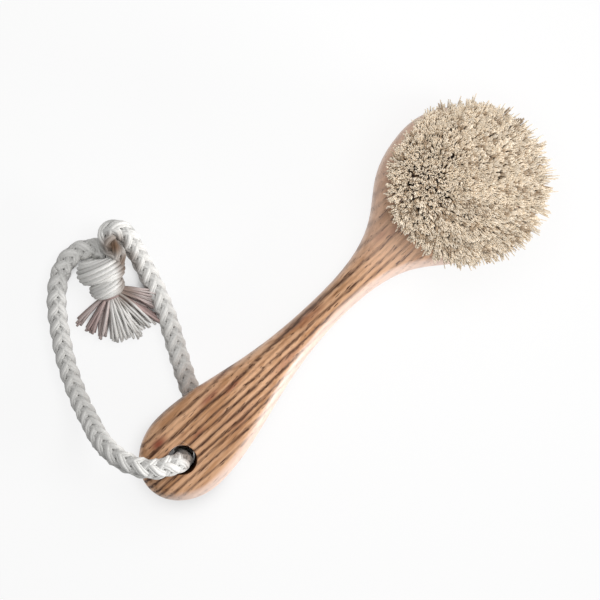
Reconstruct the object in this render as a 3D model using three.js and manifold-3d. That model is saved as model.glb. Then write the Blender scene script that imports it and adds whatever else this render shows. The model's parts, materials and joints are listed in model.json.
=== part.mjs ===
// Facial brush: a one-piece wooden handle and round head, a field of natural hair tufts held by
// metal anchors, and a plaited cotton hanging cord that runs through the hole in the handle's end.
// Millimetres, +Z up. The brush lies on its back with the tufts up, the head towards +X, and the
// origin is on the table under the middle of the brush.
import * as THREE from 'three';
import { mergeGeometries, mergeVertices } from 'three/addons/utils/BufferGeometryUtils.js';
import Module from 'manifold-3d';

const wasm = await Module();
wasm.setup();

// Wooden body: places along it are measured from the tip of the handle
const LENGTH = 140.7;
const LOBE_X = 15.3;
const LOBE_HALF_WIDTH = 12.4;
const NECK_X = 71.4;
const NECK_HALF_WIDTH = 4.2;
const HEAD_RADIUS = 20.7;
const HEAD_X = LENGTH - HEAD_RADIUS;
const SHOULDER_ANGLE = 1.66;
const LOBE_PULL = 16;
const NECK_PULL_BACK = 27.5;
const NECK_PULL_AHEAD = 32;
const SHOULDER_PULL = 22.7;
const OUTLINE_STEPS = 8;
const EDGE_RADIUS = 3.9;
const CORNER_SHARE_OF_WIDTH = 0.96;
const CORNER_SHARE_OF_THICKNESS = 0.48;
const CORNER_STEPS = 4;

// Side profile: the back is flat from the neck on, and the handle sweeps up behind it
const HEAD_TOP = 13;
const NECK_TOP = 12;
const END_TOP = 18;
const END_RISE = 8;
const LEVEL_END_X = 28;
const FLAT_BACK_X = 68;
const HEAD_LEVEL_X = 100;

// Hole for the cord
const HOLE_X = 12.2;
const HOLE_RADIUS = 3.9;
const HOLE_CHAMFER = 1.1;
const HOLE_SIDES = 32;

// Tufts: one in the middle and six more in each further ring
const TUFT_RINGS = ['center', 'inner', 'middle', 'outer'];
const TUFT_PITCH = 4.95;
const TUFTS_PER_STEP = 6;
const TUFT_HOLE_RADIUS = 1.7;
const TUFT_HOLE_BOTTOM = 4.9;
const TUFT_SIDES = 8;
const ROOT_RADIUS = 1.3;
const ROOT_BOTTOM = 5.2;
const STRANDS_PER_TUFT = 10;
const STRAND_ROOT_SPREAD = 1.2;
const STRAND_TIP_SPREAD = 2.6;
const STRAND_ROOT_RADIUS = 0.3;
const STRAND_TIP_RADIUS = 0.4;
const STRAND_SIDES = 3;
const STRAND_SINK = 0.5;
const BRISTLE_HEIGHT = 17;
const BRISTLE_DOME = 2;
const TIP_RADIUS = 22.6;
const GOLDEN_ANGLE = Math.PI * (3 - Math.sqrt(5));

// Backing slices that the strands stand on, let into the face of the head
const SLICE_THICKNESS = 1;
const FIELD_RADIUS = 16.8;
const RING_SIDES = 48;

// Metal anchors that hold the folded tufts in their holes
const ANCHOR_LENGTH = 2.5;
const ANCHOR_THICKNESS = 0.35;
const ANCHOR_HEIGHT = 1.5;
const ANCHOR_MID = 6.9;

// Hanging cord
const CORD_RADIUS = 2.9;
const CORD_SIDES = 10;
const CORD_STEPS = 36;
const CORD_SHIFT = 0.5;
const CORD_STRAIGHT = 1.2;
const CORD_BEND = 8.8;
const BEND_STEPS = 4;

// Gap between pieces that touch, and how far a cutter runs past what it cuts
const GAP = 0.3;
const CUT_PAST = 1;

const ORIGIN_X = (HEAD_X + TIP_RADIUS) / 2;
const HOLE_MIDDLE = new THREE.Vector3(HOLE_X - ORIGIN_X, 0, END_RISE + (END_TOP - END_RISE) / 2);
const HEAD_CENTRE_X = HEAD_X - ORIGIN_X;
const TUFT_COUNTS = TUFT_RINGS.map((name, ring) => Math.max(1, TUFTS_PER_STEP * ring));

// Route of the cord's front stretch, from above the handle down to the table and round to the knot
const FRONT_ROUTE = [
  [-65.4, 4, 23.2],
  [-68.2, 7.6, 23.8],
  [-70.3, 12.4, 22.6],
  [-71.1, 17, 19.2],
  [-71, 20.7, 14],
  [-70.2, 24.2, 8.8],
  [-69, 28.6, 5.1],
  [-66.9, 33.8, 3.2],
  [-63.5, 40.5, 2.95],
  [-59.1, 47.2, 2.95],
  [-54.2, 53.5, 2.95],
  [-49.8, 57.4, 2.95],
  [-46.2, 59.3, 2.95],
].map((point) => new THREE.Vector3(...point));

// Route of the rear stretch, from under the handle along the table and up over the front one
const REAR_ROUTE = [
  [-50, 3.6, 2.95],
  [-47.4, 6.2, 2.95],
  [-45.2, 9.8, 2.95],
  [-42.6, 15.1, 2.95],
  [-39.5, 21, 2.95],
  [-35.9, 27.7, 2.95],
  [-32.8, 34.7, 2.95],
  [-30.5, 41.1, 3.1],
  [-28.9, 46.2, 4.4],
  [-27.4, 51.3, 6.8],
].map((point) => new THREE.Vector3(...point));

// Knot: its axis points from the strands to the frayed ends
const KNOT_TOP = new THREE.Vector3(-37.1, 55.5, 6.6);
const KNOT_BOTTOM = new THREE.Vector3(-42.1, 44.3, 5.4);
const KNOT_CORE_RADIUS = 3.4;
const WRAPS = [
  { share: 0.35, radius: 4.1, tilt: -0.15 },
  { share: 0.72, radius: 2.4, tilt: 0 },
];
const WRAP_TUBE = 2.8;
const WRAP_FLATTENING = 0.86;
const WRAP_STEPS = 18;
const WRAP_SIDES = 8;
const STUB_STEPS = 8;
const FRONT_STUB_ROUTE = [
  [-39.6, 59.7, 3.1],
  [-36.7, 58, 3.6],
  [-34.9, 56.2, 4.2],
].map((point) => new THREE.Vector3(...point));
const FRONT_STUB_END = new THREE.Vector3(-34.6, 53.4, 5.2);
const REAR_STUB_ROUTE = [
  [-27.6, 57.3, 9.3],
  [-30, 57.9, 8.9],
  [-32.2, 56.4, 7.4],
].map((point) => new THREE.Vector3(...point));
const REAR_STUB_END = new THREE.Vector3(-34.4, 53.4, 6.2);

// Frayed ends: two fans of yarn bundles side by side
const FRAYED_ENDS = [
  { name: 'frayed_end_left', side: -1, spread: 1.3, length: 10.4 },
  { name: 'frayed_end_right', side: 1, spread: 0.78, length: 10 },
];
const BUNDLES_PER_FAN = 6;
const FIRST_BUNDLE = 0.7;
const BUNDLE_ROOT_RADIUS = 1.15;
const BUNDLE_TIP_RADIUS = 1.7;
const BUNDLE_SIDES = 6;
const BUNDLE_LAYERS = [1.75, 4.2];

// Materials
function finish(color, roughness, metalness) {
  return new THREE.MeshStandardMaterial({ color, roughness, metalness });
}
const WOOD = finish(0xb98f68, 0.6, 0);
const HAIR = finish(0xddd0b3, 0.75, 0);
const STEEL = finish(0xb9bcc0, 0.35, 1);
const COTTON = finish(0xe6e4df, 0.9, 0);

// Solids
function solid(geometry) {
  const bare = geometry.clone();
  bare.deleteAttribute('normal');
  bare.deleteAttribute('uv');
  const merged = mergeVertices(bare, 1e-4);
  const mesh = new wasm.Mesh({
    numProp: 3,
    vertProperties: new Float32Array(merged.attributes.position.array),
    triVerts: new Uint32Array(merged.index.array),
  });
  return new wasm.Manifold(mesh);
}

function piece(name, body, material) {
  const mesh = body.getMesh();
  const geometry = new THREE.BufferGeometry();
  geometry.setAttribute('position', new THREE.BufferAttribute(mesh.vertProperties, 3));
  geometry.setIndex(new THREE.BufferAttribute(mesh.triVerts, 1));
  geometry.computeVertexNormals();
  const result = new THREE.Mesh(geometry, material);
  result.name = name;
  return result;
}

// Cylinder or cone between two points
function rod(start, end, startRadius, endRadius, sides) {
  const along = new THREE.Vector3().subVectors(end, start);
  const geometry = new THREE.CylinderGeometry(endRadius, startRadius, along.length(), sides);
  geometry.translate(0, along.length() / 2, 0);
  const up = new THREE.Vector3(0, 1, 0);
  geometry.applyQuaternion(new THREE.Quaternion().setFromUnitVectors(up, along.normalize()));
  geometry.translate(start.x, start.y, start.z);
  return geometry;
}

function upright(x, y, bottom, top, radius, sides) {
  return rod(new THREE.Vector3(x, y, bottom), new THREE.Vector3(x, y, top), radius, radius, sides);
}

// Round tube along a smooth curve through the route's points
function tube(route, steps) {
  const section = new THREE.Shape();
  for (let side = 0; side < CORD_SIDES; side += 1) {
    const angle = (2 * Math.PI * side) / CORD_SIDES;
    section.lineTo(CORD_RADIUS * Math.cos(angle), CORD_RADIUS * Math.sin(angle));
  }
  const path = new THREE.CatmullRomCurve3(route);
  return new THREE.ExtrudeGeometry(section, { steps, extrudePath: path, bevelEnabled: false });
}

// Handle outline, as half widths along the body
function outlinePoints() {
  const shoulderX = HEAD_X + HEAD_RADIUS * Math.cos(SHOULDER_ANGLE);
  const shoulderY = HEAD_RADIUS * Math.sin(SHOULDER_ANGLE);
  const outline = new THREE.Path();
  outline.absellipse(LOBE_X, 0, LOBE_X, LOBE_HALF_WIDTH, Math.PI, Math.PI / 2, true);
  outline.bezierCurveTo(
    LOBE_X + LOBE_PULL,
    LOBE_HALF_WIDTH,
    NECK_X - NECK_PULL_BACK,
    NECK_HALF_WIDTH,
    NECK_X,
    NECK_HALF_WIDTH,
  );
  outline.bezierCurveTo(
    NECK_X + NECK_PULL_AHEAD,
    NECK_HALF_WIDTH,
    shoulderX - SHOULDER_PULL * Math.sin(SHOULDER_ANGLE),
    shoulderY + SHOULDER_PULL * Math.cos(SHOULDER_ANGLE),
    shoulderX,
    shoulderY,
  );
  outline.absarc(HEAD_X, 0, HEAD_RADIUS, SHOULDER_ANGLE, 0, true);
  return outline.getPoints(OUTLINE_STEPS);
}

// How far the rounded edge drops at a distance in from the tip
function edgeDrop(distance) {
  const inward = Math.max(0, EDGE_RADIUS - distance);
  return EDGE_RADIUS - Math.sqrt(EDGE_RADIUS ** 2 - inward ** 2);
}

function topAt(x) {
  const toNeck = THREE.MathUtils.smoothstep(x, LEVEL_END_X, NECK_X);
  const toHead = THREE.MathUtils.smoothstep(x, NECK_X, HEAD_LEVEL_X);
  return END_TOP + (NECK_TOP - END_TOP) * toNeck + (HEAD_TOP - NECK_TOP) * toHead;
}

function backAt(x) {
  return END_RISE * (1 - THREE.MathUtils.smoothstep(x, LEVEL_END_X, FLAT_BACK_X));
}

// Rounded rectangle across the body at one place, anticlockwise seen from the head
function sectionAt(x, halfWidth) {
  const drop = edgeDrop(Math.min(x, LENGTH - x));
  const top = topAt(x) - drop;
  const back = backAt(x) + drop;
  const radius = Math.min(
    EDGE_RADIUS,
    CORNER_SHARE_OF_WIDTH * halfWidth,
    CORNER_SHARE_OF_THICKNESS * (top - back),
  );
  const points = [];
  for (let corner = 0; corner < 4; corner += 1) {
    const right = corner === 0 || corner === 3 ? 1 : -1;
    const above = corner < 2 ? 1 : -1;
    const middleZ = above > 0 ? top - radius : back + radius;
    for (let step = 0; step <= CORNER_STEPS; step += 1) {
      const angle = (Math.PI / 2) * (corner + step / CORNER_STEPS);
      const y = right * (halfWidth - radius) + radius * Math.cos(angle);
      points.push(new THREE.Vector3(x - ORIGIN_X, y, middleZ + radius * Math.sin(angle)));
    }
  }
  return points;
}

// Loft of the sections, closed by a point at each tip
function handleBlank() {
  const outline = outlinePoints().slice(1, -1);
  const rings = outline.map((point) => sectionAt(point.x, point.y));
  const count = rings[0].length;
  const tips = [0, LENGTH].map((x) => {
    const z = (topAt(x) + backAt(x)) / 2;
    return new THREE.Vector3(x - ORIGIN_X, 0, z);
  });
  const points = [...rings.flat(), ...tips];
  const startTip = points.length - 2;
  const endTip = points.length - 1;
  const index = [];
  for (let side = 0; side < count; side += 1) {
    const next = (side + 1) % count;
    for (let ring = 0; ring + 1 < rings.length; ring += 1) {
      const here = ring * count;
      const ahead = here + count;
      index.push(here + side, here + next, ahead + side);
      index.push(here + next, ahead + next, ahead + side);
    }
    const last = (rings.length - 1) * count;
    index.push(startTip, next, side);
    index.push(endTip, last + side, last + next);
  }
  const geometry = new THREE.BufferGeometry().setFromPoints(points);
  geometry.setIndex(index);
  return geometry;
}

// Cord hole with an eased edge at both mouths, as a turned shape to cut away
function holeCutter() {
  const half = (END_TOP - END_RISE) / 2;
  const wide = HOLE_RADIUS + HOLE_CHAMFER;
  const profile = [
    [0, -half - CUT_PAST],
    [wide + CUT_PAST, -half - CUT_PAST],
    [HOLE_RADIUS, HOLE_CHAMFER - half],
    [HOLE_RADIUS, half - HOLE_CHAMFER],
    [wide + CUT_PAST, half + CUT_PAST],
    [0, half + CUT_PAST],
  ].map(([radius, height]) => new THREE.Vector2(radius, height));
  const geometry = new THREE.LatheGeometry(profile, HOLE_SIDES);
  geometry.rotateX(Math.PI / 2);
  geometry.translate(HOLE_MIDDLE.x, HOLE_MIDDLE.y, HOLE_MIDDLE.z);
  return geometry;
}

// Tuft places of one ring, each with the angle that its anchor is driven at
function tuftPlaces(ring) {
  const radius = ring * TUFT_PITCH;
  return Array.from({ length: TUFT_COUNTS[ring] }, (unused, place) => {
    const angle = (2 * Math.PI * place) / TUFT_COUNTS[ring];
    return { x: radius * Math.cos(angle), y: radius * Math.sin(angle), angle };
  });
}

function makeHandle() {
  const recess = HEAD_TOP - SLICE_THICKNESS - GAP;
  const field = FIELD_RADIUS + GAP;
  let body = solid(handleBlank()).subtract(solid(holeCutter()));
  const above = HEAD_TOP + CUT_PAST;
  body = body.subtract(solid(upright(HEAD_CENTRE_X, 0, recess, above, field, RING_SIDES)));
  const holes = TUFT_RINGS.flatMap((name, ring) => tuftPlaces(ring)).map((place) => {
    const x = HEAD_CENTRE_X + place.x;
    return upright(x, place.y, TUFT_HOLE_BOTTOM, above, TUFT_HOLE_RADIUS, TUFT_SIDES);
  });
  body = body.subtract(solid(mergeGeometries(holes)));
  return piece('handle', body, WOOD);
}

// Flat metal anchor, or the slot round it in the folded tuft
function anchorBlock(place, margin) {
  const geometry = new THREE.BoxGeometry(
    ANCHOR_LENGTH + (margin > 0 ? 2 * ROOT_RADIUS : 0),
    ANCHOR_THICKNESS + 2 * margin,
    ANCHOR_HEIGHT + 2 * margin,
  );
  geometry.rotateZ(place.angle);
  geometry.translate(HEAD_CENTRE_X + place.x, place.y, ANCHOR_MID);
  return geometry;
}

// Folded root of a tuft: a plug in its hole, slotted for the anchor
function tuftRoot(place) {
  const x = HEAD_CENTRE_X + place.x;
  const top = HEAD_TOP - SLICE_THICKNESS / 2;
  const plug = rod(
    new THREE.Vector3(0, 0, ROOT_BOTTOM),
    new THREE.Vector3(0, 0, top),
    ROOT_RADIUS,
    ROOT_RADIUS,
    TUFT_SIDES,
  );
  plug.rotateZ(place.angle + Math.PI / TUFT_SIDES);
  plug.translate(x, place.y, 0);
  return solid(plug).subtract(solid(anchorBlock(place, GAP)));
}

// Strands of one tuft, fanning out so that no two cross
function tuftStrands(place) {
  const ringRadius = Math.hypot(place.x, place.y);
  const outerRing = (TUFT_RINGS.length - 1) * TUFT_PITCH;
  const lean = (TIP_RADIUS - STRAND_TIP_SPREAD) / outerRing;
  const tipZ = HEAD_TOP + BRISTLE_HEIGHT - BRISTLE_DOME * (ringRadius / outerRing) ** 2;
  return Array.from({ length: STRANDS_PER_TUFT }, (unused, strand) => {
    const turn = strand * GOLDEN_ANGLE + place.angle;
    const share = Math.sqrt((strand + 0.5) / STRANDS_PER_TUFT);
    const side = new THREE.Vector3(Math.cos(turn), Math.sin(turn), 0).multiplyScalar(share);
    const foot = new THREE.Vector3(place.x, place.y, HEAD_TOP - STRAND_SINK);
    const tip = new THREE.Vector3(lean * place.x, lean * place.y, tipZ);
    foot.addScaledVector(side, STRAND_ROOT_SPREAD).add(new THREE.Vector3(HEAD_CENTRE_X, 0, 0));
    tip.addScaledVector(side, STRAND_TIP_SPREAD).add(new THREE.Vector3(HEAD_CENTRE_X, 0, 0));
    return rod(foot, tip, STRAND_ROOT_RADIUS, STRAND_TIP_RADIUS, STRAND_SIDES);
  });
}

// Ring of backing between two circles
function backingSlice(ring) {
  const bottom = HEAD_TOP - SLICE_THICKNESS;
  const last = ring === TUFT_RINGS.length - 1;
  const outside = last ? FIELD_RADIUS : (ring + 0.5) * TUFT_PITCH - GAP / 2;
  const slice = solid(upright(HEAD_CENTRE_X, 0, bottom, HEAD_TOP, outside, RING_SIDES));
  if (ring === 0) {
    return slice;
  }
  const inside = (ring - 0.5) * TUFT_PITCH + GAP / 2;
  const below = bottom - CUT_PAST;
  const above = HEAD_TOP + CUT_PAST;
  return slice.subtract(solid(upright(HEAD_CENTRE_X, 0, below, above, inside, RING_SIDES)));
}

function makeTufts(ring) {
  const places = tuftPlaces(ring);
  let body = backingSlice(ring);
  body = body.add(solid(mergeGeometries(places.flatMap(tuftStrands))));
  places.forEach((place) => {
    body = body.add(tuftRoot(place));
  });
  return piece(`tufts_${TUFT_RINGS[ring]}`, body, HAIR);
}

function makeAnchors() {
  const places = TUFT_RINGS.flatMap((name, ring) => tuftPlaces(ring));
  return places.map((place, number) => {
    const name = `anchor_${String(number + 1).padStart(2, '0')}`;
    return piece(name, solid(anchorBlock(place, 0)), STEEL);
  });
}

// Straight start in the middle of the hole, then a quarter bend out of a mouth towards a route
function mouthBend(target, upward) {
  const middle = HOLE_MIDDLE.clone().add(new THREE.Vector3(0, -CORD_SHIFT, 0));
  const out = new THREE.Vector3().subVectors(target, middle).setZ(0).normalize();
  const start = middle.clone().setZ(middle.z + upward * (GAP / 2));
  const bend = Array.from({ length: BEND_STEPS }, (unused, step) => {
    const angle = (Math.PI / 2) * (step / BEND_STEPS);
    const point = middle.clone().addScaledVector(out, CORD_BEND * (1 - Math.cos(angle)));
    return point.setZ(middle.z + upward * (CORD_STRAIGHT + CORD_BEND * Math.sin(angle)));
  });
  return [start, ...bend];
}

function makeCordStretches() {
  const front = [...mouthBend(FRONT_ROUTE[0], 1), ...FRONT_ROUTE];
  const rear = [...mouthBend(REAR_ROUTE[0], -1), ...REAR_ROUTE];
  return [
    piece('cord_front', solid(tube(front, CORD_STEPS)), COTTON),
    piece('cord_rear', solid(tube(rear, CORD_STEPS)), COTTON),
  ];
}

// First points of a strand inside the knot, square to the stretch that it goes on from
function stubStart(route) {
  const end = route.at(-1);
  const run = new THREE.Vector3().subVectors(end, route.at(-2)).normalize();
  return [GAP, CORD_RADIUS].map((distance) => end.clone().addScaledVector(run, distance));
}

// Both strands' last bends, two wraps and the core that they are drawn round
function makeKnot() {
  const axis = new THREE.Vector3().subVectors(KNOT_BOTTOM, KNOT_TOP);
  const core = rod(KNOT_TOP, KNOT_BOTTOM, KNOT_CORE_RADIUS, KNOT_CORE_RADIUS, CORD_SIDES);
  let body = solid(core);
  const up = new THREE.Vector3(0, 0, 1);
  WRAPS.forEach(({ share, radius, tilt }) => {
    const facing = axis.clone().normalize().applyAxisAngle(up, tilt);
    const wrap = new THREE.TorusGeometry(radius, WRAP_TUBE, WRAP_SIDES, WRAP_STEPS);
    wrap.applyQuaternion(new THREE.Quaternion().setFromUnitVectors(up, facing));
    wrap.scale(1, 1, WRAP_FLATTENING);
    const place = KNOT_TOP.clone().addScaledVector(axis, share);
    wrap.translate(place.x, place.y, place.z);
    body = body.add(solid(wrap));
  });
  const frontStub = [...stubStart(FRONT_ROUTE), ...FRONT_STUB_ROUTE, FRONT_STUB_END];
  const rearStub = [...stubStart(REAR_ROUTE), ...REAR_STUB_ROUTE, REAR_STUB_END];
  body = body.add(solid(tube(frontStub, STUB_STEPS)));
  body = body.add(solid(tube(rearStub, 2 * STUB_STEPS)));
  return piece('cord_knot', body, COTTON);
}

// One fan of yarn bundles, in two layers, trimmed square to the knot
function makeFrayedEnd({ name, side, spread, length }) {
  const axis = new THREE.Vector3().subVectors(KNOT_BOTTOM, KNOT_TOP).setZ(0).normalize();
  const across = new THREE.Vector3(-axis.y, axis.x, 0).multiplyScalar(side);
  const root = KNOT_BOTTOM.clone().addScaledVector(across, BUNDLE_ROOT_RADIUS + GAP);
  const bundles = Array.from({ length: BUNDLES_PER_FAN }, (unused, bundle) => {
    const angle = spread * ((bundle + FIRST_BUNDLE) / BUNDLES_PER_FAN);
    const out = axis.clone().multiplyScalar(Math.cos(angle)).addScaledVector(across, Math.sin(angle));
    const tip = root.clone().addScaledVector(out, length);
    tip.setZ(BUNDLE_LAYERS[bundle % BUNDLE_LAYERS.length]);
    return solid(rod(root, tip, BUNDLE_ROOT_RADIUS, BUNDLE_TIP_RADIUS, BUNDLE_SIDES));
  });
  const knotSide = new THREE.BoxGeometry(length, length, length);
  knotSide.rotateZ(Math.atan2(axis.y, axis.x));
  const behind = KNOT_BOTTOM.clone().addScaledVector(axis, 2 * GAP - length / 2);
  knotSide.translate(behind.x, behind.y, behind.z);
  const body = bundles.reduce((whole, bundle) => whole.add(bundle)).subtract(solid(knotSide));
  return piece(name, body, COTTON);
}

const brush = new THREE.Group();
brush.add(makeHandle());
TUFT_RINGS.forEach((name, ring) => brush.add(makeTufts(ring)));
brush.add(...makeAnchors());
brush.add(...makeCordStretches());
brush.add(makeKnot());
brush.add(...FRAYED_ENDS.map(makeFrayedEnd));

export default brush;
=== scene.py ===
"""Facial brush: an oiled wooden handle, tufts of natural hair and a plaited cotton hanging cord."""

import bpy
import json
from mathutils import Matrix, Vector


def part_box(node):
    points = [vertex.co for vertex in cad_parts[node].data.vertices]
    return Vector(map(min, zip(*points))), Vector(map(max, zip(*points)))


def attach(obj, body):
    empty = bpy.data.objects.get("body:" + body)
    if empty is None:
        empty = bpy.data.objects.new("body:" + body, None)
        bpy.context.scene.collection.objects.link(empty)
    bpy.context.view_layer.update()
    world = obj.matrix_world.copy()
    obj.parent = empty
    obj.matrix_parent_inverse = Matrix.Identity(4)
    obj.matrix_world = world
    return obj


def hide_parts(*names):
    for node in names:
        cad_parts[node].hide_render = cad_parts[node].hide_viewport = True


bl_info = {
    "name": "Facial brush",
    "version": (1, 0, 0),
    "blender": (4, 5, 0),
    "location": "View3D > Sidebar > Brush",
    "description": "Dresses the frame of a facial brush in wood, natural hair and plaited cotton",
    "category": "Object",
}

import json
import math

import bmesh
import bpy
import numpy as np
from bpy.props import FloatProperty, FloatVectorProperty, IntProperty, PointerProperty
from mathutils import Matrix, Vector

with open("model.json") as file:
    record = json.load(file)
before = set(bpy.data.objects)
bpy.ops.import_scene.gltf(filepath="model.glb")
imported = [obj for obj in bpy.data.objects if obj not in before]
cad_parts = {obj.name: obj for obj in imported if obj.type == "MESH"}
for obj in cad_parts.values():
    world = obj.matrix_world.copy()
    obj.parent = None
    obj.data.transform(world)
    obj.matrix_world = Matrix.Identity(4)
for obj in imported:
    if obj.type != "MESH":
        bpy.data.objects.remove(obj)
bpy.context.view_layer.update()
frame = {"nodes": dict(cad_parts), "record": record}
MM = 0.001

# Places that come from the frame
HANDLE_LOW, HANDLE_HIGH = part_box("handle")
HINGE = Vector(frame["record"]["behaviour"]["joints"][0]["pos_m"])
HEAD_CENTRE = (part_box("tufts_center")[0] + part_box("tufts_center")[1]) / 2
ANCHORS = sorted(name for name in frame["nodes"] if name.startswith("anchor_"))
TUFT_RINGS = ("tufts_center", "tufts_inner", "tufts_middle", "tufts_outer")
TUFTS_PER_STEP = 6

# Routes of the cord in millimetres: a straight start in the hole, a quarter bend out of its mouth,
# the stretch on the table, and the bends inside the knot
CORD_SHIFT = -0.5
CORD_STRAIGHT = 1.2
CORD_BEND = 8.8
BEND_STEPS = 4
START_GAP = 0.15
FRONT_ROUTE = (
    (-65.4, 4, 23.2), (-68.2, 7.6, 23.8), (-70.3, 12.4, 22.6), (-71.1, 17, 19.2),
    (-71, 20.7, 14), (-70.2, 24.2, 8.8), (-69, 28.6, 5.1), (-66.9, 33.8, 3.2),
    (-63.5, 40.5, 2.95), (-59.1, 47.2, 2.95), (-54.2, 53.5, 2.95), (-49.8, 57.4, 2.95),
    (-46.2, 59.3, 2.95),
)
FRONT_KNOT_ROUTE = (
    (-43.2, 60.1, 2.95), (-39.6, 59.7, 3.1), (-36.7, 58, 3.6), (-34.9, 56.2, 4.2), (-34.6, 53.4, 5.2),
)
REAR_ROUTE = (
    (-50, 3.6, 2.95), (-47.4, 6.2, 2.95), (-45.2, 9.8, 2.95), (-42.6, 15.1, 2.95),
    (-39.5, 21, 2.95), (-35.9, 27.7, 2.95), (-32.8, 34.7, 2.95), (-30.5, 41.1, 3.1),
    (-28.9, 46.2, 4.4), (-27.4, 51.3, 6.8),
)
REAR_KNOT_ROUTE = (
    (-26.7, 54.4, 8.3), (-27.6, 57.3, 9.3), (-30, 57.9, 9.1), (-31.8, 56.2, 8.6), (-32, 53, 8.1),
    (-34, 50.5, 6.2),
)
# Stretches of the cord: node, route to the knot and in it, and which way it leaves the hole
STRETCHES = (
    ("cord_front", FRONT_ROUTE, FRONT_KNOT_ROUTE, 1),
    ("cord_rear", REAR_ROUTE, REAR_KNOT_ROUTE, -1),
)
KNOT_TOP = np.array((-37.1, 55.5, 6.6))
KNOT_BOTTOM = np.array((-42.1, 44.3, 5.4))
# Wraps: place along the knot, radius, flattening, turn about the vertical, half sizes of the bundle of
# yarns out from the knot and along it, and how many yarns' places it twists in one turn
KNOT_WRAPS = ((0.33, 4.1, 0.67, -0.15, (2.2, 2.85), -6), (0.74, 2.4, 0.9, 0.0, (2.1, 2.1), -5))
# Yarns in a wrap, points round it, sides of a yarn and of the filling, how much painted light is left on
# them, and how much thinner the filling is than the bundle
WRAP_YARNS = 14
WRAP_POINTS = 73
WRAP_YARN_SIDES, FILLING_SIDES = 8, 12
WRAP_LIGHT, FILLING_LIGHT = (0.7, 0.97), 0.5
FILLING_GAP = 0.2
# Core below the wraps: where it starts along the knot, distance between its points, radius, sides and painted
# light
KNOT_CORE_START, KNOT_CORE_STEP, KNOT_CORE_RADIUS = 0.3, 1, 2.6
KNOT_CORE_SIDES, KNOT_CORE_LIGHT = 16, 0.7
# Plait: strands that go each way, distance between points of a yarn, how much lower its side yarns lie, sides
# of a yarn and of the core, and painted light on a strand halfway up, more or less of it where the strand
# goes over or under, and the painted shade on the side yarns and on the core
STRANDS_EACH_WAY = 4
YARN_STEP = 0.42
SIDE_YARN_DROP = 0.14
YARN_SIDES, CORE_SIDES = 7, 10
STRAND_LIGHT, OVER_LIGHT, SIDE_LIGHT, CORE_LIGHT = 0.85, 0.17, 0.92, 0.35
# Places where the cotton is painted darker: middle, radius and strength. The first five and the last are
# painted shade, in the hook of the knot, along the right side of the wraps and in the notch between them, and
# where the cord goes into the hole; the other two darken the tassel's root and the rear stretch near the
# handle.
DARK_SPOTS_AND_PAINTED_SHADE = (
    ((-31.2, 54.2, 10.9), 4.6, 1),
    ((-32.2, 48.8, 8.6), 4.4, 0.95),
    ((-33.2, 46.8, 7.6), 4.4, 1),
    ((-35, 45, 7.4), 3.8, 1),
    ((-37, 43.6, 8), 3.4, 0.85),
    ((-38.6, 42.4, 6.4), 4.6, 0.7),
    ((-43.5, 11, 4.5), 8, 0.4),
    ((-56.8, -0.3, 17.8), 4.6, 0.8),
)
# Groups of frayed yarns: first and last angle from the knot's axis, count, length and share of painted shade.
# A yarn's root, knee and tip lie some way along and across the knot, most for the yarns at the sides, in
# layers.
FRAYS = {
    "frayed_end_left": (
        (-70, -60, 10, 11.4, 0.8), (-53, -40, 14, 11.6, 0.9), (-34, -24, 10, 12.8, 0.65),
        (-20, -2, 20, 13.4, 0.05),
    ),
    "frayed_end_right": ((0, 30, 32, 14.6, 0.03), (32, 37, 6, 17, 1), (40, 64, 24, 12.6, 0.65)),
}
FRAY_POINTS, FRAY_SIDES, FRAY_LAYERS = 18, 6, 4
ROOT_BACK, ROOT_BACK_RIGHT = 1.2, 1.6
ROOT_ASIDE, ROOT_FAN, ROOT_SPREAD = 0.4, 1.4, 0.3
ROOT_DEPTH, TIP_DEPTH, TIP_LOW, TIP_LIFT = 3.4, 3.6, 0.6, 0.6
KNEE_AHEAD, KNEE_FAN, KNEE_SPREAD = 2.8, 3.4, 1.2
# Lines: points between two given ones, distance between points of a line and of a declared path
SPAN_POINTS = 40
LINE_SPACING, PATH_SPACING = 0.5, 1.5
# Starts of the random draws
CORD_SEED, KNOT_SEED, HAIR_SEED = 20, 5, 40

# Wood: where its own measure starts, and the slope and bend of its lines, in millimetres
GRAIN_START = 49.3
GRAIN_SLOPE = 0.0605
GRAIN_BEND = -0.0002
# Noises: stretch along and across the grain, shift, scale, detail and roughness. The dashes are 4 to
# 8 mm long and a third of a millimetre wide, the red patches 10 to 20 mm long and the fibres a sixth
# of a millimetre wide.
WOOD_NOISES = {
    "wander": (0.06, 0.2, (0, 0, 0), 1, 2, 0.5),
    "dashes": (0.17, 1.5, (0, 0, 0), 1, 3, 0.6),
    "pores": (0.32, 2.6, (31, 7, 3), 1, 1, 0.5),
    "bands": (0.17, 1.5, (0, 0, 0), 0.35, 3, 0.6),
    "red": (0.055, 0.16, (12, 5, 0), 1, 4, 0.6),
    "fibres": (0.5, 6, (0, 0, 0), 1, 2, 0.6),
}
# How far these noises push the growth lines aside
LINE_SHIFTS = {"wander": 0.8, "dashes": 0.9}
# Reddish heart patches, and a band of painted shade along the +Y edge at (12, 10.6): place, half length and
# half width in millimetres, and strength
RED_PATCHES_AND_EDGE_SHADE = (
    (-11.3, 7.8, 4, 1.8, 1), (-1.7, 2.1, 4.5, 1.4, 0.6), (7.5, 6.8, 6, 1.5, 0.75),
    (14.1, 4.8, 6, 1.4, 0.9), (12, 10.6, 9, 1.2, 0.6), (30, -1.2, 9, 1.8, 0.45), (72.2, 4.8, 4, 1.8, 0.5),
    (75.8, 3.4, 4, 1.6, 0.5),
)
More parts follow.
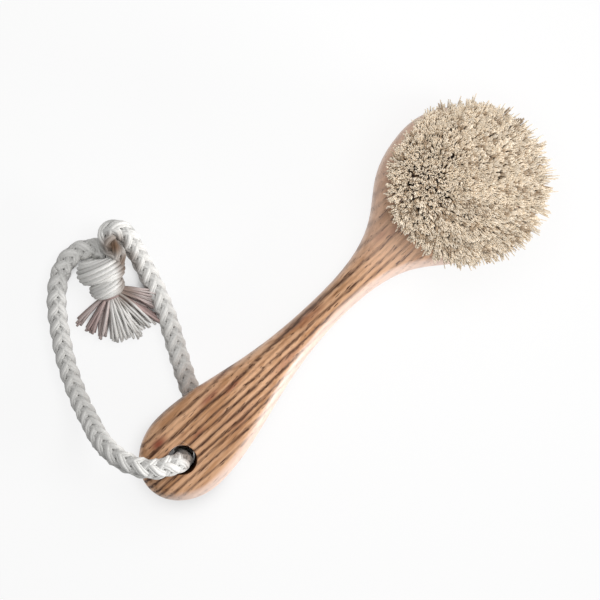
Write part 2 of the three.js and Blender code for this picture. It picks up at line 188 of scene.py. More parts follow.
# Growth lines: place across the grain, half width and strength
GROWTH_LINES = (
    (-20, 0.9, 0.6), (-17.2, 0.9, 0.6), (-14.4, 0.9, 0.65), (-11.4, 0.9, 0.65), (-8.25, 0.8, 0.7),
    (-5.95, 0.85, 0.85), (-3.95, 0.75, 0.75), (-2.65, 0.8, 0.9), (-0.75, 0.9, 0.95), (1.3, 0.9, 0.95),
    (3.1, 0.85, 0.9), (4.6, 0.5, 0.35), (6, 0.95, 1), (7.8, 0.5, 0.35), (9.3, 0.8, 0.75),
    (11.9, 0.9, 0.65), (14.6, 0.9, 0.6), (17.3, 0.9, 0.6), (20, 0.9, 0.6),
)

# Stage: width of the floor, limits of the camera's sight, lamps with their place, width and power in
# metres and watts, and the light of the surroundings
FLOOR_WIDTH = 6
CAMERA_CLIP = (0.01, 20)
LAMPS = (("key", (0.45, -0.75, 0.18), 0.4, 8.5), ("top", (0.055, 0.025, 0.18), 0.12, 0.22))
AMBIENT = 0.36
WHITE = (1, 1, 1, 1)


def linear(hex_colour):
    """Linear red, green and blue of an sRGB hex colour."""
    channels = [int(hex_colour[place:place + 2], 16) / 255 for place in (0, 2, 4)]
    return tuple(c / 12.92 if c <= 0.04045 else ((c + 0.055) / 1.055) ** 2.4 for c in channels)


def size(name, description, millimetres):
    """Length property with a default in millimetres."""
    return FloatProperty(
        name=name, description=description, default=millimetres * MM, unit="LENGTH", precision=5
    )


def colour(name, description, hex_colour):
    """Colour property with an sRGB hex default."""
    return FloatVectorProperty(
        name=name, description=description, default=linear(hex_colour), subtype="COLOR", size=3
    )


class BrushHandleSizes(bpy.types.PropertyGroup):
    """Sizes of the wooden handle and head."""

    lobe_place: size("Lobe place", "Widest place of the handle's end, from its tip", 15.3)
    lobe_half_width: size("Lobe half width", "Half the width of the handle's end", 12.4)
    lobe_pull: size("Lobe pull", "Length of the outline's handle ahead of the lobe", 16)
    neck_place: size("Neck place", "Slimmest place, from the tip", 71.4)
    neck_half_width: size("Neck half width", "Half the width of the neck", 4.2)
    neck_pull_back: size("Neck pull back", "Length of the outline's handle behind the neck", 27.5)
    neck_pull_ahead: size("Neck pull ahead", "Length of the outline's handle ahead of the neck", 32)
    shoulder_angle: FloatProperty(
        name="Shoulder angle",
        description="Where the outline meets the round head, from its far end",
        default=1.66,
        subtype="ANGLE",
    )
    shoulder_pull: size("Shoulder pull", "Length of the outline's handle before the head", 22.7)
    edge_radius: size("Edge radius", "Rounding of the long edges", 3.9)
    head_top: size("Head top", "Height of the head's face", 13)
    neck_top: size("Neck top", "Height of the neck's face", 12)
    end_rise: size("End rise", "Height of the back of the handle's end", 8)
    level_end: size("Level end", "How far the raised end is level, from the tip", 28)
    flat_back: size("Flat back", "Where the back reaches the table, from the tip", 68)
    head_level: size("Head level", "Where the head's face becomes level, from the tip", 100)
    hole_radius: size("Hole radius", "Radius of the cord hole", 3.9)
    hole_edge: size("Hole edge", "Rounding of the cord hole's mouths", 0.45)


class BrushTuftSizes(bpy.types.PropertyGroup):
    """Sizes and counts of the hair tufts."""

    pitch: size("Pitch", "Distance between rings of tufts", 4.95)
    hole_radius: size("Hole radius", "Radius of a tuft hole", 1.7)
    hole_bottom: size("Hole bottom", "Height of the bottom of a tuft hole", 4.9)
    root_radius: size("Root radius", "Radius of a tuft where it leaves the wood", 1.35)
    height: size("Height", "Height of the middle hairs above the face", 17)
    dome: size("Dome", "How much lower the outer tufts stand", 2)
    tip_reach: size("Tip reach", "Half the depth of one tuft at its tips, outward", 3.2)
    lean: FloatProperty(name="Lean", description="Spread of the field at its tips", default=1.225)
    drift: FloatVectorProperty(
        name="Drift", description="How far all tips lean, along and across the handle",
        default=(0.5 * MM, -0.4 * MM), subtype="XYZ", unit="LENGTH", size=2,
    )
    splay: size("Splay", "How far the outermost hairs bend outward", 2.4)
    clump_rows: IntProperty(name="Clump rows", description="Rows of clumps across a tuft", default=8, min=1)
    hairs: IntProperty(name="Hairs", description="Hairs in a clump", default=10, min=1)
    # Drawn about twice as thick as real hair, so that single hairs show in the picture
    thickness: size("Thickness", "Thickness of a hair", 0.34)


class BrushCordSizes(bpy.types.PropertyGroup):
    """Sizes of the plaited cord, its knot and its frayed ends."""

    thickness: size("Thickness", "Thickness of the cord", 6)
    lay: size("Lay", "Length of one full turn of a strand in the plait", 16.4)
    strand_radius: size("Strand radius", "Mean radius of the plait", 2.08)
    weave_depth: size("Weave depth", "How far a strand rises over another", 0.22)
    yarn_radius: size("Yarn radius", "Radius of the middle yarn in a strand", 0.66)
    side_yarn_radius: size("Side yarn radius", "Radius of the outer yarns in a strand", 0.52)
    yarn_pitch: size("Yarn pitch", "Distance between yarns in a strand", 0.63)
    core_radius: size("Core radius", "Radius of the core in the plait", 1.5)
    wrap_yarn_radius: size("Wrap yarn radius", "Radius of a yarn in the knot's wraps", 0.63)
    fray_radius: size("Fray radius", "Radius of one frayed yarn", 0.34)


class BrushColours(bpy.types.PropertyGroup):
    """Colours of the wood, hair, cotton and steel."""

    wood: colour("Wood", "Body of the wood", "DFB08A")
    wood_deep: colour("Deep wood", "Broad darker bands", "B8865D")
    # Also paints the band of shade along the +Y edge
    wood_red: colour("Red wood", "Reddish heart patches", "8E4A33")
    wood_line: colour("Wood line", "Growth lines", "4C2C18")
    wood_pore: colour("Wood pore", "Open pores", "543520")
    # Painted shade inside the cord hole
    wood_bored_shade: colour("Bored wood", "Inside of the cord hole", "2A1A10")
    # Painted highlight on the edges and painted light on the head
    wood_painted_highlight: colour("Pale wood", "Sapwood along one edge", "EDD6CA")
    hair: colour("Hair", "Hair near its tip", "F8EBD8")
    # Painted shade deep in the tufts, where each hair darkens to its root
    hair_root_shade: colour("Hair root", "Hair near its root", "94754A")
    hair_brown: colour("Brown hair", "A few darker clumps", "8F6C40")
    hair_mottle: colour("Mottled hair", "Tint of the mottling from hair to hair", "E3D5BC")
    cotton: colour("Cotton", "Bleached cotton", "EDECE9")
    # Painted shade in the knot and where the cord goes into the hole, and darker spots at the tassel's root
    # and near the handle
    cotton_painted_shade: colour("Stained cotton", "Yarns stained by the wood and damp", "684F3A")
    cotton_fibre: colour("Cotton fibres", "Tint between the fibres of a yarn", "D8D6D2")
    # Painted shade on the frayed yarns and on the knot's core
    cotton_soft_shade: colour("Dull cotton", "Frayed yarns that have turned dull", "BBA39F")
    steel: colour("Steel", "Galvanised anchors", "B9BCC0")
    floor: colour("Floor", "Pale floor", "F4F4F4")


class BrushView(bpy.types.PropertyGroup):
    """Camera and light."""

    look_at: FloatVectorProperty(
        name="Look at", description="Point in the middle of the picture",
        default=(-0.00547, 0.0074, 0.00841), subtype="TRANSLATION", size=3,
    )
    towards: FloatVectorProperty(
        name="Towards", description="Direction from the brush to the camera",
        default=(-0.008, 0.12, 1.0), subtype="DIRECTION", size=3,
    )
    distance: size("Distance", "Distance of the camera", 650)
    turn: FloatProperty(
        name="Turn", description="Angle of the handle in the picture",
        default=math.radians(44.66), subtype="ANGLE",
    )
    lens: FloatProperty(name="Lens", description="Focal length in millimetres", default=140.95)


# Materials

# Settings and sockets that many nodes share; a Mix node keeps its colours apart from its numbers
SMOOTH = {"interpolation_type": "SMOOTHSTEP"}
COLOURS = {"data_type": "RGBA"}
TINTING = {"data_type": "RGBA", "blend_type": "MULTIPLY"}
ADD, SUBTRACT, MULTIPLY, MULTIPLY_ADD, MAXIMUM, ABSOLUTE = (
    {"operation": name}
    for name in ("ADD", "SUBTRACT", "MULTIPLY", "MULTIPLY_ADD", "MAXIMUM", "ABSOLUTE")
)
RANGE = ("Value", "From Min", "From Max", "To Min", "To Max")
MIX = (0, 6, 7)
MIXED = 2


def add_node(tree, kind, settings=None, sockets=None):
    """New node with its settings, and its sockets set to values or linked from outputs.

    A node in place of an output stands for its first output.
    """
    node = tree.nodes.new(kind)
    for name, value in (settings or {}).items():
        setattr(node, name, value)
    for key, value in (sockets or {}).items():
        if isinstance(value, bpy.types.Node):
            value = value.outputs[0]
        if isinstance(value, bpy.types.NodeSocket):
            tree.links.new(value, node.inputs[key])
        else:
            node.inputs[key].default_value = value
    return node


def new_material(name):
    """Empty node material and its tree."""
    material = bpy.data.materials.new(name)
    material.use_nodes = True
    material.node_tree.nodes.clear()
    return material, material.node_tree


def rgba(values):
    """Colour with full alpha."""
    return (*values, 1.0)


def oiled_hardwood(colours):
    """Heat-darkened, oiled, ring-porous hardwood, sanded across open grain.

    The eye sees dark growth lines 2 to 3 mm apart that break up into dashes, short open pores between them,
    warm reddish patches with one reddish band of painted shade along the +Y edge, a painted highlight on the
    edges and painted light on the head, and a soft sheen from the oil.
    """
    material, tree = new_material("oiled_ring_porous_hardwood")
    place = add_node(tree, "ShaderNodeTexCoord")
    # Millimetres, from a place near the hole
    grain = add_node(tree, "ShaderNodeMapping", sockets={
        "Vector": place.outputs["Object"], "Location": (GRAIN_START, 0, 0), "Scale": (1 / MM,) * 3,
    })
    parts = add_node(tree, "ShaderNodeSeparateXYZ", sockets={0: grain})
    noises = {}
    for name, (along, across, shift, scale, detail, roughness) in WOOD_NOISES.items():
        stretched = add_node(tree, "ShaderNodeMapping", sockets={
            "Vector": grain, "Scale": (along, across, across), "Location": shift,
        })
        noises[name] = add_node(tree, "ShaderNodeTexNoise", sockets={
            "Vector": stretched, "Scale": scale, "Detail": detail, "Roughness": roughness,
        })
    # Growth lines run a few degrees off the handle's direction, bend slowly, wander and are ragged
    slope = add_node(tree, "ShaderNodeMath", MULTIPLY_ADD, {
        0: parts.outputs["X"], 1: GRAIN_BEND, 2: GRAIN_SLOPE,
    })
    across = add_node(tree, "ShaderNodeMath", MULTIPLY_ADD, {
        0: parts.outputs["X"], 1: slope, 2: parts.outputs["Y"],
    })
    for name, reach in LINE_SHIFTS.items():
        level = add_node(tree, "ShaderNodeMath", SUBTRACT, {0: noises[name], 1: 0.5})
        across = add_node(tree, "ShaderNodeMath", MULTIPLY_ADD, {0: level, 1: reach, 2: across})
    line = 0
    for middle, width, strength in GROWTH_LINES:
        aside = add_node(tree, "ShaderNodeMath", SUBTRACT, {0: across, 1: middle})
        away = add_node(tree, "ShaderNodeMath", ABSOLUTE, {0: aside})
        dark = add_node(
            tree, "ShaderNodeMapRange", SMOOTH, dict(zip(RANGE, (away, 0.05, 0.85 * width, strength, 0)))
        )
        line = add_node(tree, "ShaderNodeMath", MAXIMUM, {0: line, 1: dark})
    # The lines are broken into dashes, and fade towards the neck and head
    line_share = line
    for value, *limits in ((noises["dashes"], 0.34, 0.56, 0.55, 1), (parts.outputs["X"], 40, 85, 1, 0.52)):
        strength = add_node(tree, "ShaderNodeMapRange", SMOOTH, dict(zip(RANGE, (value, *limits))))
        line_share = add_node(tree, "ShaderNodeMath", MULTIPLY, {0: line_share, 1: strength})
    # Open pores, more of them near the lines
    near_line = add_node(tree, "ShaderNodeMapRange", sockets={"Value": line, "To Min": -0.06, "To Max": 0.07})
    pore_level = add_node(tree, "ShaderNodeMath", ADD, {0: noises["pores"], 1: near_line})
    pores = add_node(tree, "ShaderNodeMapRange", SMOOTH, dict(zip(RANGE, (pore_level, 0.59, 0.72, 0, 1))))
    bands = add_node(
        tree, "ShaderNodeMapRange", SMOOTH, dict(zip(RANGE, (noises["bands"], 0.42, 0.66, 0, 1)))
    )
    fibres = add_node(
        tree, "ShaderNodeMapRange", sockets=dict(zip(RANGE, (noises["fibres"], 0.4, 0.75, 0, 0.55)))
    )
    # Reddish heart patches, faint ones all over and a few deeper ones in their places; the long thin one
    # along the +Y edge is painted shade
    red = add_node(tree, "ShaderNodeMapRange", SMOOTH, dict(zip(RANGE, (noises["red"], 0.52, 0.75, 0, 0.5))))
    for d, y, half_length, half_width, strength in RED_PATCHES_AND_EDGE_SHADE:
        spot = add_node(tree, "ShaderNodeMapping", sockets={
            "Vector": grain,
            "Location": (-d / half_length, -y / half_width, 0),
            "Scale": (1 / half_length, 1 / half_width, 0),
        })
        reach = add_node(tree, "ShaderNodeVectorMath", {"operation": "LENGTH"}, {0: spot})
        ragged = add_node(tree, "ShaderNodeMath", MULTIPLY_ADD, {
            0: noises["bands"], 1: 0.8, 2: reach.outputs["Value"],
        })
        deep = add_node(
            tree, "ShaderNodeMapRange", SMOOTH, dict(zip(RANGE, (ragged, 0.45, 1.4, strength, 0)))
        )
        red = add_node(tree, "ShaderNodeMath", MAXIMUM, {0: red, 1: deep})
    # Painted highlight on the edges that face the key light, and painted light on the head, where the mesh
    # says
    pale = add_node(tree, "ShaderNodeAttribute", {"attribute_name": "pale"})
    body = rgba(colours.wood)
    for share, shade in (
        (bands, colours.wood_deep),
        (fibres, colours.wood_deep),
        (red, colours.wood_red),
        (line_share, colours.wood_line),
        (pores, colours.wood_pore),
        (pale.outputs["Fac"], colours.wood_painted_highlight),
    ):
        mix = add_node(tree, "ShaderNodeMix", COLOURS, dict(zip(MIX, (share, body, rgba(shade)))))
        body = mix.outputs[MIXED]
    # The pores and soft growth lines are open to the touch
    low = add_node(tree, "ShaderNodeMath", MULTIPLY_ADD, {0: line_share, 1: 0.5, 2: pores})
    relief = add_node(tree, "ShaderNodeBump", {"invert": True}, {
        "Strength": 0.55, "Distance": 0.25 * MM, "Height": low,
    })
    roughness = add_node(tree, "ShaderNodeMapRange", sockets={"Value": low, "To Min": 0.4, "To Max": 0.8})
    shader = add_node(tree, "ShaderNodeBsdfPrincipled", sockets={
        "Base Color": body,
        "Roughness": roughness,
        "IOR": 1.47,
        "Coat Weight": 0.2,
        "Coat Roughness": 0.3,
        "Normal": relief,
    })
    add_node(tree, "ShaderNodeOutputMaterial", sockets={"Surface": shader})
    return material


def bored_hardwood_in_shade(colours):
    """Raw wood inside a drilled hole, rough and without oil, painted dark as the shade deep in the hole."""
    material, tree = new_material("bored_hardwood_painted_dark")
    place = add_node(tree, "ShaderNodeTexCoord")
    # Rings left by the drill, half a millimetre apart
    rings = add_node(tree, "ShaderNodeTexWave", {"bands_direction": "Z"}, {
        "Vector": place.outputs["Object"], "Scale": 0.31 / (0.5 * MM), "Distortion": 1, "Detail": 2,
    })
    mix = add_node(tree, "ShaderNodeMix", COLOURS, dict(zip(MIX, (
        rings.outputs["Fac"], rgba(colours.wood_pore), rgba(colours.wood_bored_shade),
    ))))
    shader = add_node(tree, "ShaderNodeBsdfPrincipled", sockets={
        "Base Color": mix.outputs[MIXED], "Roughness": 1.0, "Specular IOR Level": 0.1,
    })
    add_node(tree, "ShaderNodeOutputMaterial", sockets={"Surface": shader})
    return material


def natural_hair(colours):
    """Undyed animal hair: cream tips with painted shade that darkens each hair to its root, and a slight
    gloss along each hair.
    """
    material, tree = new_material("natural_hair")
    tint = add_node(tree, "ShaderNodeAttribute", {"attribute_name": "tint"})
    place = add_node(tree, "ShaderNodeTexCoord")
    # Mottling from hair to hair, about 2 mm across
    mottle = add_node(tree, "ShaderNodeTexNoise", sockets={
        "Vector": place.outputs["Object"], "Scale": 1 / (2 * MM), "Detail": 2,
    })
    share = add_node(tree, "ShaderNodeMapRange", sockets=dict(zip(RANGE, (mottle, 0.3, 0.7, 0, 0.3))))
    mix = add_node(tree, "ShaderNodeMix", TINTING, dict(zip(MIX, (share, tint, rgba(colours.hair_mottle)))))
    shader = add_node(tree, "ShaderNodeBsdfPrincipled", sockets={
        "Base Color": mix.outputs[MIXED], "Roughness": 0.5, "IOR": 1.55,
    })
    add_node(tree, "ShaderNodeOutputMaterial", sockets={"Surface": shader})
    return material


def bleached_cotton(colours):
    """Plaited bleached cotton: matt, soft and off-white, with fine fibres along each yarn."""
    material, tree = new_material("bleached_cotton")
    tint = add_node(tree, "ShaderNodeAttribute", {"attribute_name": "tint"})
    place = add_node(tree, "ShaderNodeTexCoord")
    # Fibres a third of a millimetre across, coarser than real ones so that they show
    fibres = add_node(tree, "ShaderNodeTexNoise", sockets={
        "Vector": place.outputs["Object"], "Scale": 1 / (0.35 * MM), "Detail": 3, "Roughness": 0.6,
    })
    share = add_node(tree, "ShaderNodeMapRange", sockets=dict(zip(RANGE, (fibres, 0.35, 0.75, 0, 0.45))))
    mix = add_node(tree, "ShaderNodeMix", TINTING, dict(zip(MIX, (share, tint, rgba(colours.cotton_fibre)))))
    relief = add_node(tree, "ShaderNodeBump", sockets={
        "Strength": 0.4, "Distance": 0.1 * MM, "Height": fibres,
    })
    shader = add_node(tree, "ShaderNodeBsdfPrincipled", sockets={
        "Base Color": mix.outputs[MIXED],
        "Roughness": 0.9,
        "IOR": 1.5,
        "Sheen Weight": 0.1,
        "Sheen Roughness": 0.5,
        "Normal": relief,
    })
    add_node(tree, "ShaderNodeOutputMaterial", sockets={"Surface": shader})
    return material


def galvanised_steel(colours):
    """Cut steel strip with a dull zinc skin: grey, with a faint spangle."""
    material, tree = new_material("galvanised_steel")
    place = add_node(tree, "ShaderNodeTexCoord")
    spangle = add_node(tree, "ShaderNodeTexVoronoi", sockets={
        "Vector": place.outputs["Object"], "Scale": 1 / (0.4 * MM),
    })
    roughness = add_node(tree, "ShaderNodeMapRange", sockets={"Value": spangle, "To Min": 0.3, "To Max": 0.5})
    shader = add_node(tree, "ShaderNodeBsdfPrincipled", sockets={
        "Base Color": rgba(colours.steel), "Metallic": 1.0, "Roughness": roughness,
    })
    add_node(tree, "ShaderNodeOutputMaterial", sockets={"Surface": shader})
    return material


def white_paper(colours):
    """White paper floor that shows pale to the camera and keeps the shadow of the brush.

    It has a painted shadow below the cord hole, where the handle's raised end shades it.
    """
    material, tree = new_material("white_paper")
    rays = add_node(tree, "ShaderNodeLightPath")
    seen = rays.outputs["Is Camera Ray"]
    for kind in ("Is Glossy Ray", "Is Transmission Ray"):
        seen = add_node(tree, "ShaderNodeMath", MAXIMUM, {0: seen, 1: rays.outputs[kind]})
    # Closed-in places stay dark
    open_air = add_node(tree, "ShaderNodeAmbientOcclusion", sockets={"Distance": 0.03})
    lit = add_node(tree, "ShaderNodeMapRange", SMOOTH, dict(zip(RANGE, (
        open_air.outputs["AO"], 0.05, 0.25, 0, 0.85,
    ))))
    # Painted shadow below the cord hole: the paper turns dark and loses its glow within 2 mm of a point 1.3
    # mm and 2.4 mm off the hole's middle, and is clear again by 17 mm
    place = add_node(tree, "ShaderNodeTexCoord")
    away = add_node(tree, "ShaderNodeVectorMath", {"operation": "DISTANCE"}, {
        0: place.outputs["Object"], 1: (HINGE.x - 1.3 * MM, HINGE.y - 2.4 * MM, 0),
    })
    clear = add_node(tree, "ShaderNodeMapRange", SMOOTH, dict(zip(RANGE, (
        away.outputs["Value"], 2 * MM, 17 * MM, 0.08, 1,
    ))))
    share = seen
    for part in (lit, clear):
        share = add_node(tree, "ShaderNodeMath", MULTIPLY, {0: share, 1: part})
    shaded = add_node(tree, "ShaderNodeMix", COLOURS, dict(zip(MIX, (
        clear, rgba((0, 0, 0)), rgba(colours.floor),
    ))))
    paper = add_node(tree, "ShaderNodeBsdfDiffuse", sockets={"Color": shaded.outputs[MIXED]})
    glow = add_node(tree, "ShaderNodeEmission", sockets={"Color": WHITE, "Strength": 1.0})
    shader = add_node(tree, "ShaderNodeMixShader", sockets={0: share, 1: paper, 2: glow})
    add_node(tree, "ShaderNodeOutputMaterial", sockets={"Surface": shader})
    return material


def white_studio():
    """White surroundings, at a plain level for the light that they give."""
    world = bpy.data.worlds.new("white_studio")
    world.use_nodes = True
    tree = world.node_tree
    tree.nodes.clear()
    rays = add_node(tree, "ShaderNodeLightPath")
    ambient = add_node(tree, "ShaderNodeBackground", sockets={"Color": WHITE, "Strength": AMBIENT})
    shown = add_node(tree, "ShaderNodeBackground", sockets={"Color": WHITE, "Strength": 1.0})
    mix = add_node(tree, "ShaderNodeMixShader", sockets={
        0: rays.outputs["Is Camera Ray"], 1: ambient, 2: shown,
    })
    add_node(tree, "ShaderNodeOutputWorld", sockets={"Surface": mix})
    return world


# Strands and lines, in millimetres


def unit(vectors):
    """Vectors scaled to length one."""
    return vectors / np.linalg.norm(vectors, axis=-1, keepdims=True)


def mixed(first, second, share):
    """Colour or place between two others."""
    return np.array(first) * (1 - share) + np.array(second) * share


def smooth_line(points):
    """Evenly spaced points on a centripetal Catmull-Rom line through the given ones."""
    given = np.array(points, dtype=float)
    given = np.vstack((2 * given[0] - given[1], given, 2 * given[-1] - given[-2]))
    fine = []
    for start in range(len(given) - 3):
        p0, p1, p2, p3 = given[start:start + 4]
        t1 = np.linalg.norm(p1 - p0) ** 0.5
        t2 = t1 + np.linalg.norm(p2 - p1) ** 0.5
        t3 = t2 + np.linalg.norm(p3 - p2) ** 0.5
        t = np.linspace(t1, t2, SPAN_POINTS, endpoint=False)[:, None]
        a1 = ((t1 - t) * p0 + t * p1) / t1
        a2 = ((t2 - t) * p1 + (t - t1) * p2) / (t2 - t1)
        a3 = ((t3 - t) * p2 + (t - t2) * p3) / (t3 - t2)
        b1 = ((t2 - t) * a1 + t * a2) / t2
        b2 = ((t3 - t) * a2 + (t - t1) * a3) / (t3 - t1)
        fine.append(((t2 - t) * b1 + (t - t1) * b2) / (t2 - t1))
    fine = np.vstack((*fine, given[-2:-1]))
    return even_line(fine, LINE_SPACING)


def lengths_along(line):
    """Distance of each point from the start of the line."""
    return np.concatenate(([0], np.cumsum(np.linalg.norm(np.diff(line, axis=0), axis=1))))


def even_line(line, spacing):
    """The same line with evenly spaced points."""
    along = lengths_along(line)
    stations = np.linspace(0, along[-1], max(2, round(along[-1] / spacing) + 1))
    return np.column_stack([np.interp(stations, along, line[:, axis]) for axis in range(3)])


def side_directions(line):
    """A direction across the line at each point, carried along without twist."""
    runs = unit(np.gradient(line, axis=0))
    across = np.cross(runs[0], (0.0, 0.0, 1.0))
    if np.linalg.norm(across) < 0.1:
        across = np.cross(runs[0], (1.0, 0.0, 0.0))
    sides = [unit(across)]
    for run in runs[1:]:
        sides.append(unit(sides[-1] - run * np.dot(sides[-1], run)))
    return np.array(sides)


class Strands:
    """Round strands that are collected into one mesh."""

    def __init__(self):
        self.points, self.faces, self.tints, self.count = [], [], [], 0

    def add(self, line, radii, tints, sides, across=None):
        """One closed strand along the line, with a radius and a tint at each point or for all."""
        steps = len(line)
        runs = unit(np.gradient(line, axis=0))
        across = side_directions(line) if across is None else across
        second = unit(np.cross(runs, across))
        first = np.cross(second, runs)
        angles = np.arange(sides) * (2 * math.pi / sides)
        round_it = (
            np.cos(angles)[None, :, None] * first[:, None] + np.sin(angles)[None, :, None] * second[:, None]
        )
        radii = np.broadcast_to(radii, steps)
        rings = line[:, None] + radii[:, None, None] * round_it
        here = np.arange(sides)
        ahead = (here + 1) % sides
        rows = self.count + np.arange(steps - 1)[:, None] * sides
        walls = np.stack((rows + here, rows + ahead, rows + sides + ahead, rows + sides + here), axis=-1)
        self.faces += walls.reshape(-1, 4).tolist()
        self.faces.append((self.count + here[::-1]).tolist())
        self.faces.append((self.count + (steps - 1) * sides + here).tolist())
        self.points.append(rings.reshape(-1, 3))
        tints = np.broadcast_to(tints, (steps, 3))
        self.tints.append(np.repeat(tints, sides, axis=0))
        self.count += steps * sides

    def make(self, name, material):
        """Mesh object of all strands, in metres, smooth, with their tints as an attribute."""
        mesh = bpy.data.meshes.new(name)
        mesh.from_pydata((np.vstack(self.points) * MM).tolist(), [], self.faces)
        mesh.shade_smooth()
        tints = mesh.attributes.new("tint", "FLOAT_COLOR", "POINT")
        tints.data.foreach_set("color", np.column_stack((np.vstack(self.tints), np.ones(self.count))).ravel())
        mesh.materials.append(material)
        piece = bpy.data.objects.new(name, mesh)
        bpy.context.collection.objects.link(piece)
        return piece


def dress(piece, body, slot, *nodes):
    """Puts a finished piece on its body in place of its frame nodes."""
    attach(piece, body)
    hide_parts(*nodes)


def deselect():
    """Leaves edit mode, with nothing selected."""
    if bpy.context.object and bpy.context.object.mode != "OBJECT":
        bpy.ops.object.mode_set(mode="OBJECT")
    bpy.ops.object.select_all(action="DESELECT")


def make_active(piece):
    """Selects one object alone."""
    deselect()
    piece.select_set(True)
    bpy.context.view_layer.objects.active = piece


# Cord


def mouth_bend(target, upward):
    """Points from the middle of the hole out of its mouth towards a route's first point."""
    middle = np.array(HINGE) / MM + (0, CORD_SHIFT, 0)
    out = np.array(target) - middle
    out[2] = 0
    out = unit(out)
    points = [middle + (0, 0, upward * START_GAP)]
    for step in range(BEND_STEPS):
        angle = math.pi / 2 * step / BEND_STEPS
        rise = CORD_STRAIGHT + CORD_BEND * math.sin(angle)
        points.append(middle + out * CORD_BEND * (1 - math.cos(angle)) + (0, 0, upward * rise))
    return points


def cord_line(route, knot_route, upward):
    """A stretch of cord with its bends in the knot, and the number of points before the knot."""
    free = [*mouth_bend(route[0], upward), *route]
    line = smooth_line([*free, *knot_route])
    end = np.argmin(np.linalg.norm(line - np.array(route[-1]), axis=1))
    return line, int(end) + 1


def shade_painted(points, tint, shade):
    """Tint at each point, mixed with the painted shade near the listed dark spots."""
    share = np.zeros(len(points))
    for middle, reach, strength in DARK_SPOTS_AND_PAINTED_SHADE:
        near = np.clip(1 - np.linalg.norm(points - np.array(middle), axis=1) / reach, 0, 1)
        share = np.maximum(share, strength * near * (2 - near))
    return mixed(tint, shade, share[:, None])


def plait(strands, line, across, start, stop, sizes, colours, seed):
    """Eight strands of three yarns each, plaited round a core, from one point of the line to another."""
    chance = np.random.default_rng(seed)
    along = lengths_along(line)
    runs = unit(np.gradient(line, axis=0))
    second = unit(np.cross(runs, across))
    lay = sizes.lay / MM
    radius = sizes.strand_radius / MM
    yarns = (sizes.yarn_radius, sizes.side_yarn_radius, sizes.side_yarn_radius)
    slope = math.atan2(2 * math.pi * radius, lay)
    first, last = along[start], along[stop - 1]
    stations = np.linspace(first, last, max(3, int((last - first) / YARN_STEP)))

    def sampled(values, places):
        """Values of the line at other places along it."""
        return np.column_stack([np.interp(places, along, values[:, c]) for c in range(3)])

    for way in (1, -1):
        for strand in range(STRANDS_EACH_WAY):
            turn = 2 * math.pi * (way * stations / lay + strand / STRANDS_EACH_WAY)
            # Strands of one way lie over the others on two sides of the cord, and under them between
            over = way * np.sin(2 * turn)
            rise = over * sizes.weave_depth / MM
            for number in (-1, 0, 1):
                aside = number * sizes.yarn_pitch / MM
                angle = turn + math.cos(slope) * aside / radius
                places = np.clip(stations - way * math.sin(slope) * aside, first, last)
                out = np.cos(angle)[:, None] * sampled(across, places)
                out += np.sin(angle)[:, None] * sampled(second, places)
                lift = radius + rise - SIDE_YARN_DROP * abs(number)
                route = sampled(line, places) + lift[:, None] * out
                # Painted shade where a strand goes under and at its sides, and in the listed dark spots
                light = (STRAND_LIGHT + OVER_LIGHT * over) * (SIDE_LIGHT if number else 1)
                light *= chance.uniform(0.95, 1)
                tints = shade_painted(route, colours.cotton, colours.cotton_painted_shade) * light[:, None]
                strands.add(route, yarns[number] / MM, tints, YARN_SIDES, unit(out))
    inner = line[start:stop]
    shade = shade_painted(inner, colours.cotton, colours.cotton_painted_shade) * CORE_LIGHT
    strands.add(inner, sizes.core_radius / MM, shade, CORE_SIDES, across[start:stop])


def wrap(strands, middle, facing, radius, flattening, bundle, twist, sizes, colours, seed):
    """One turn of cord pulled so tight that its yarns lie side by side, a little twisted."""
    chance = np.random.default_rng(seed)
    level = unit(np.cross(facing, (0, 0, 1)))
    upright = np.cross(level, facing)
    # The seam is underneath
    angles = np.linspace(-math.pi / 2, 1.5 * math.pi, WRAP_POINTS)[:, None]
    ring = middle + radius * (np.cos(angles) * level + flattening * np.sin(angles) * upright)
    out = unit(flattening * np.cos(angles) * level + np.sin(angles) * upright)
    part = lengths_along(ring)[:, None]
    part = part / part[-1]
    for number in range(WRAP_YARNS):
        turn = 2 * math.pi * (number + twist * part) / WRAP_YARNS
        route = ring + bundle[0] * np.cos(turn) * out + bundle[1] * np.sin(turn) * facing
        tints = shade_painted(route, colours.cotton, colours.cotton_painted_shade) * chance.uniform(*WRAP_LIGHT)
        strands.add(route, sizes.wrap_yarn_radius / MM * chance.uniform(0.9, 1.1), tints, WRAP_YARN_SIDES)
    # The filling inside a wrap is painted in shade
    filling = np.array(colours.cotton_painted_shade) * FILLING_LIGHT
    strands.add(ring, min(bundle) - FILLING_GAP, filling, FILLING_SIDES, out)


def cotton_material(colours):
    """The cotton of all pieces of the cord, made once."""
    return bpy.data.materials.get("bleached_cotton") or bleached_cotton(colours)


